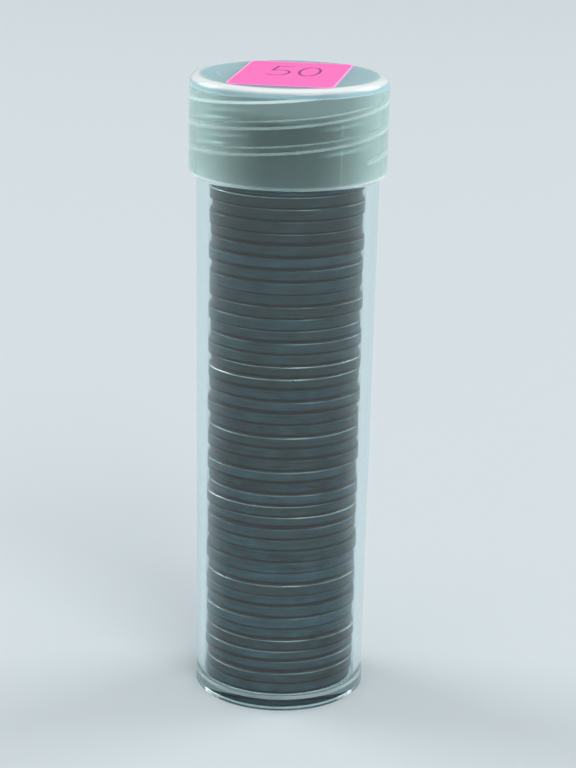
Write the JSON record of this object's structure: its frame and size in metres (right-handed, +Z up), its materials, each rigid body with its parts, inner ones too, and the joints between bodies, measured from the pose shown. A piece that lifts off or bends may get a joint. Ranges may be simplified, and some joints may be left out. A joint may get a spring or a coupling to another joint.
{
  "type": "coin tube",
  "caption": "Clear round storage tube full of coins, with a screw-on translucent cap on a double-start thread and a paper label on top.",
  "frame": {"origin": "centre of the ring that the foot stands on, on the tube's axis", "axes": "+Z up along the tube's axis to the cap, +X to the right in the picture, +Y away from the viewer"},
  "size_m": [0.0246, 0.0246, 0.0805],
  "materials": {
    "clear_tube": "clear moulded polystyrene",
    "cap_plastic": "milky translucent moulded polyethylene",
    "label_paper": "pink self-adhesive paper",
    "coin_metal": "dull dark grey zinc-coated steel, worn"
  },
  "bodies": {
    "tube_body": {"tube": "clear_tube"},
    "coin_stack": {"coin_01": "coin_metal", "coin_02": "coin_metal", "coin_03": "coin_metal", "coin_04": "coin_metal", "coin_05": "coin_metal", "coin_06": "coin_metal", "coin_07": "coin_metal", "coin_08": "coin_metal", "coin_09": "coin_metal", "coin_10": "coin_metal", "coin_11": "coin_metal", "coin_12": "coin_metal", "coin_13": "coin_metal", "coin_14": "coin_metal", "coin_15": "coin_metal", "coin_16": "coin_metal", "coin_17": "coin_metal", "coin_18": "coin_metal", "coin_19": "coin_metal", "coin_20": "coin_metal", "coin_21": "coin_metal", "coin_22": "coin_metal", "coin_23": "coin_metal", "coin_24": "coin_metal", "coin_25": "coin_metal", "coin_26": "coin_metal", "coin_27": "coin_metal", "coin_28": "coin_metal", "coin_29": "coin_metal", "coin_30": "coin_metal", "coin_31": "coin_metal", "coin_32": "coin_metal", "coin_33": "coin_metal", "coin_34": "coin_metal", "coin_35": "coin_metal", "coin_36": "coin_metal", "coin_37": "coin_metal", "coin_38": "coin_metal", "coin_39": "coin_metal", "coin_40": "coin_metal", "coin_41": "coin_metal", "coin_42": "coin_metal", "coin_43": "coin_metal", "coin_44": "coin_metal", "coin_45": "coin_metal", "coin_46": "coin_metal", "coin_47": "coin_metal", "coin_48": "coin_metal", "coin_49": "coin_metal", "coin_50": "coin_metal"},
    "cap_body": {"cap": "cap_plastic", "label": "label_paper"}
  },
  "joints": [
    {"name": "cap_turn", "type": "hinge", "parent": "tube_body", "child": "coin_stack", "pos_m": [0, 0, 0.0791], "axis": [0, 0, 1], "range_deg": [0, 720]},
    {"name": "cap_lift", "type": "slide", "parent": "coin_stack", "child": "cap_body", "axis": [0, 0, 1], "range_m": [0, 0.0125]}
  ],
  "couplings": [
    {"joint": "cap_lift", "follows": "cap_turn", "m_per_rad": 0.00098676}
  ]
}
